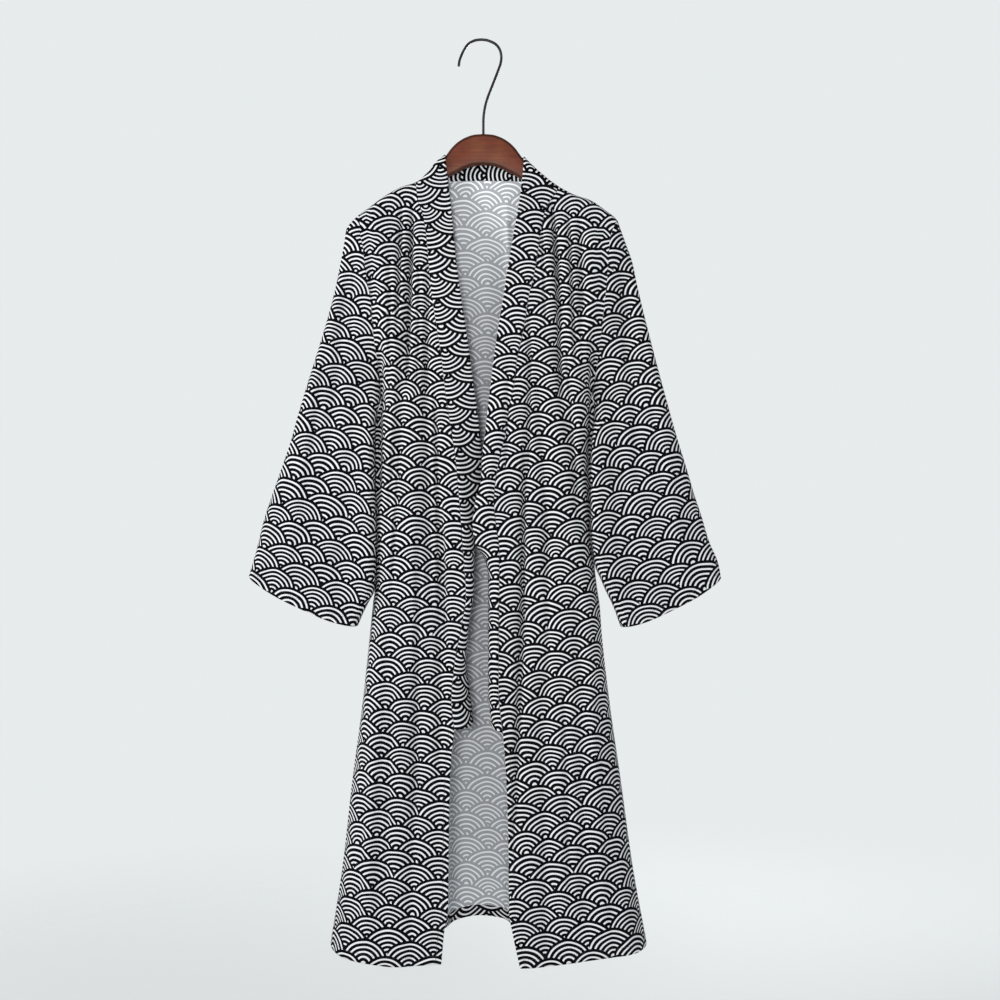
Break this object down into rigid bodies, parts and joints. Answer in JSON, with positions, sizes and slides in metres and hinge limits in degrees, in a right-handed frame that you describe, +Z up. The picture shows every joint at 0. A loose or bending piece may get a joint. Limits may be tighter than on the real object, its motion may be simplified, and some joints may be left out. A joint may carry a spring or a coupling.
{
  "type": "cotton yukata robe on a wooden hanger",
  "caption": "Open-fronted cotton yukata robe with wide sleeves and a straight collar band, printed with overlapping wave arcs, hung flat on a wooden hanger by its wire hook.",
  "frame": {"origin": "the inside of the hook's crown, where the hanger hangs", "axes": "+X towards the wearer's left, -Y to the front, +Z up"},
  "size_m": [0.7064, 0.1286, 1.372],
  "materials": {
    "printed_cotton": "matt plain-woven cotton printed with wave arcs",
    "collar_cotton": "the same cotton, folded double and pressed",
    "stained_wood": "dark red-brown stain with satin lacquer",
    "black_wire": "satin black"
  },
  "bodies": {
    "root": {"front_right": "printed_cotton", "front_left": "printed_cotton", "back": "printed_cotton", "sleeve_right": "printed_cotton", "sleeve_left": "printed_cotton", "collar": "collar_cotton", "hanger_wood": "stained_wood", "hanger_hook": "black_wire"}
  },
  "joints": []
}
